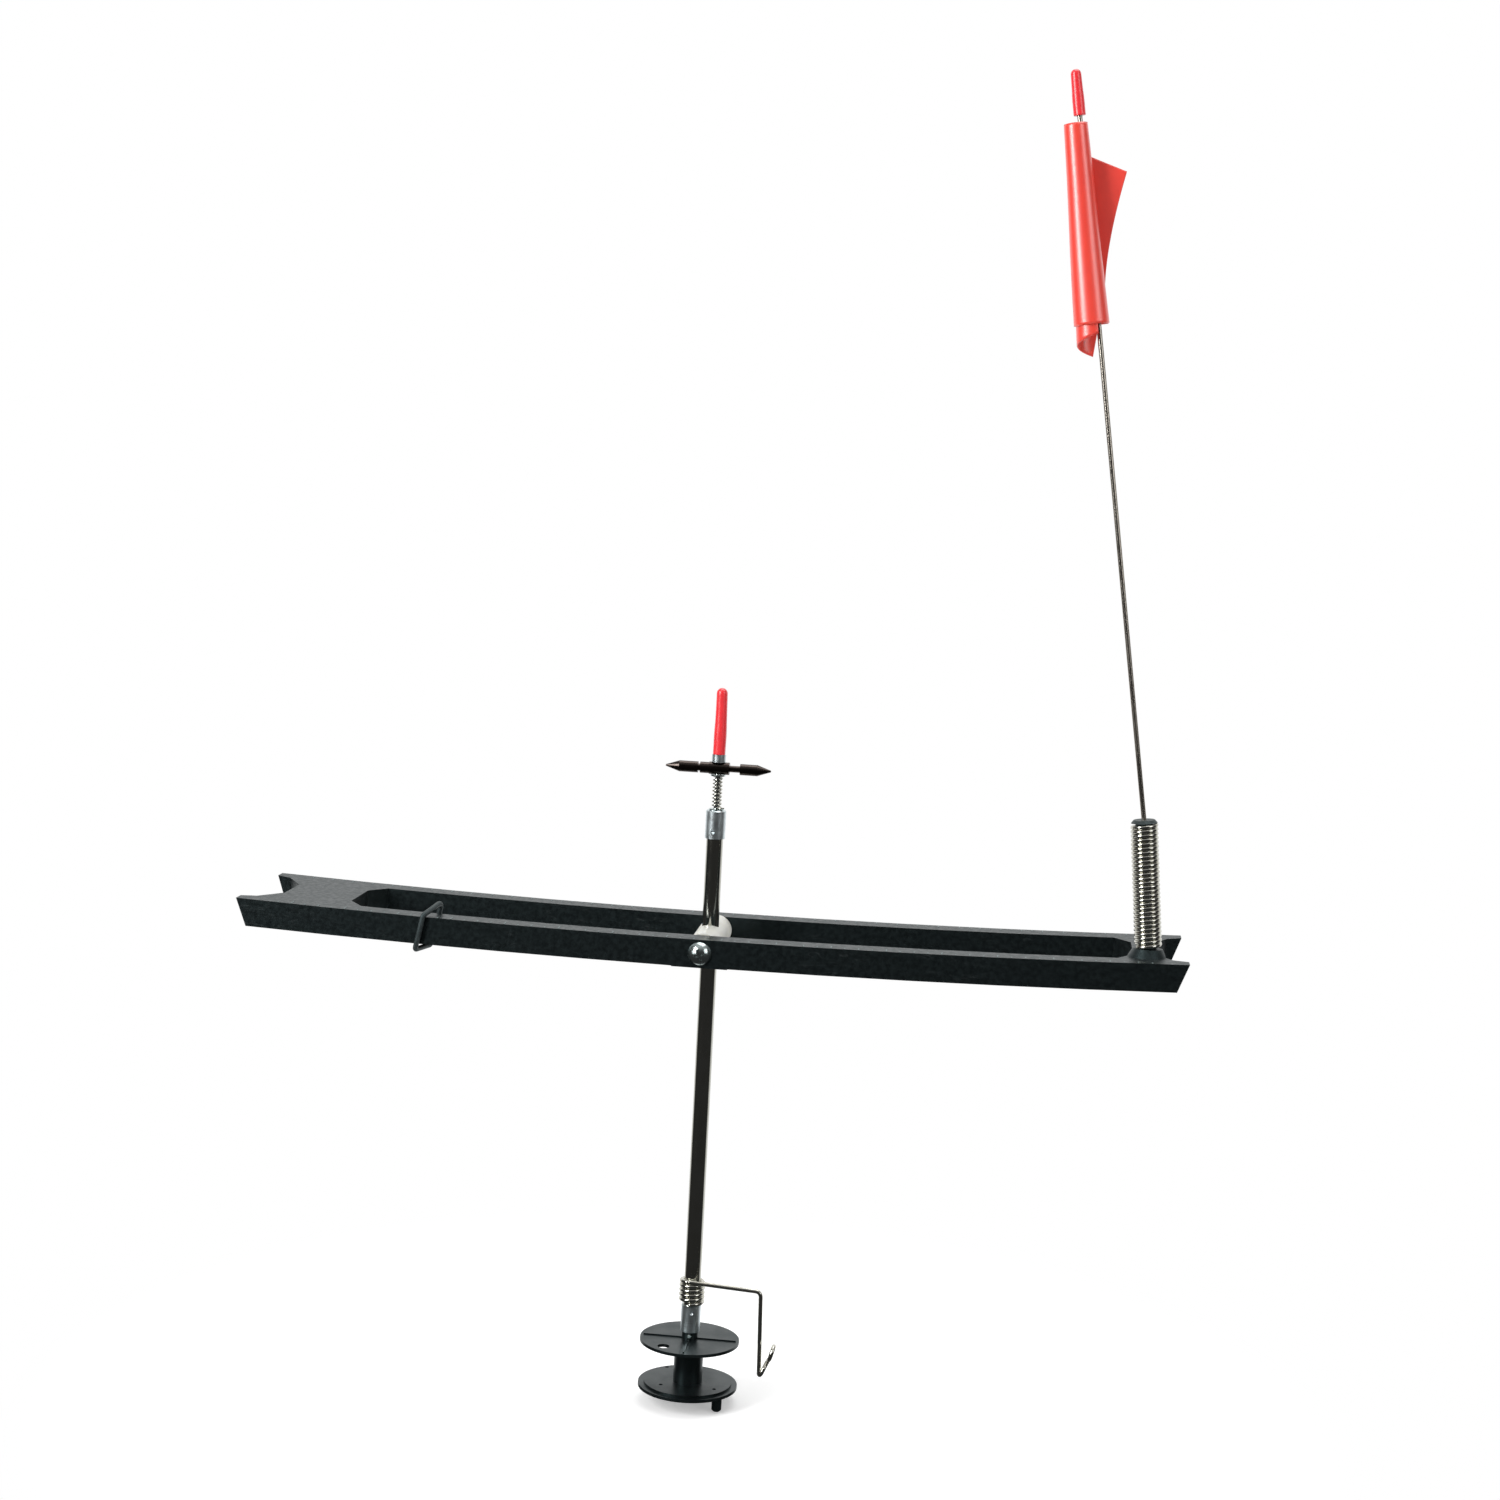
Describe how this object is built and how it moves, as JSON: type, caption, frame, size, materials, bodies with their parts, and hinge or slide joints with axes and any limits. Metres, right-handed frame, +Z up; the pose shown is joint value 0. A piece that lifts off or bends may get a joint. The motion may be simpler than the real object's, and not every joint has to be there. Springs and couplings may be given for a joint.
{
  "type": "ice fishing tip-up",
  "caption": "Ice fishing tip-up: bowed plastic frame with notched ends, spindle in a folding tube with line spool and wire line guide, trip bar, and a rolled flag on a spring.",
  "frame": {"origin": "on the ice surface, midway between the rails and under the pivot of the tube", "axes": "+X along the rails towards the flag, +Z up out of the hole, +Y across the rails away from the flag's rail"},
  "size_m": [0.443, 0.0824, 0.634],
  "materials": {
    "frame_plastic": "fine-grained moulded black with a grey sheen",
    "spool_plastic": "smooth moulded black",
    "nylon": "natural nylon, slightly waxy",
    "zinc_screw": "zinc plated",
    "tube_steel": "polished nickel plate",
    "bushing_alloy": "satin turned",
    "spindle_steel": "ground rod",
    "spring_steel": "bright nickel plated wire",
    "dark_plated": "dark oxidised plating",
    "staff_steel": "dull bronze-grey wire",
    "red_vinyl": "dipped glossy vinyl",
    "flag_vinyl": "thin orange-red vinyl sheet",
    "rubber": "dull black cord"
  },
  "bodies": {
    "frame": {"frame": "frame_plastic", "flag_spring": "spring_steel"},
    "tube": {"pivot_barrel": "nylon", "pivot_screws": "zinc_screw", "tube": "tube_steel", "top_bushing": "bushing_alloy", "bottom_bushing": "bushing_alloy", "lower_washer": "zinc_screw", "drag_spring": "spring_steel"},
    "push": {"upper_washer": "zinc_screw"},
    "spindle": {"spindle": "spindle_steel", "trip_bar": "dark_plated", "trip_collar": "bushing_alloy", "spindle_cap": "red_vinyl", "spool": "spool_plastic", "spool_pin": "zinc_screw", "spool_base": "spool_plastic", "push_nut": "zinc_screw", "crank_knob": "spool_plastic"},
    "guide": {"line_guide": "spring_steel"},
    "flag": {"flag_plug": "spool_plastic", "flag_staff": "staff_steel", "flag": "flag_vinyl", "flag_tip_cap": "red_vinyl"},
    "band": {"rubber_band": "rubber"}
  },
  "joints": [
    {"name": "tube_fold", "type": "hinge", "parent": "frame", "child": "tube", "pos_m": [0, 0, 0.0066], "axis": [0, 1, 0], "range_deg": [-76, 75]},
    {"name": "spindle_push", "type": "slide", "parent": "tube", "child": "push", "axis": [0, 0, -1], "range_m": [0, 0.004], "stiffness_N_per_m": 2000, "springref_m": -0.001, "deforming": ["drag_spring"]},
    {"name": "spindle_spin", "type": "hinge", "parent": "push", "child": "spindle", "pos_m": [0, 0, 0], "axis": [0, 0, 1], "continuous": true},
    {"name": "guide_swivel", "type": "hinge", "parent": "tube", "child": "guide", "pos_m": [0, 0, 0], "axis": [0, 0, 1], "continuous": true},
    {"name": "flag_bend", "type": "hinge", "parent": "frame", "child": "flag", "pos_m": [0.20197, -0.019, 0.04957], "axis": [0, -1, 0], "range_deg": [-20, 78], "stiffness_Nm_per_rad": 0.25, "deforming": ["flag_spring"]},
    {"name": "band_slide", "type": "slide", "parent": "frame", "child": "band", "axis": [0.9997, 0, -0.0235], "range_m": [-0.024, 0.024]}
  ]
}
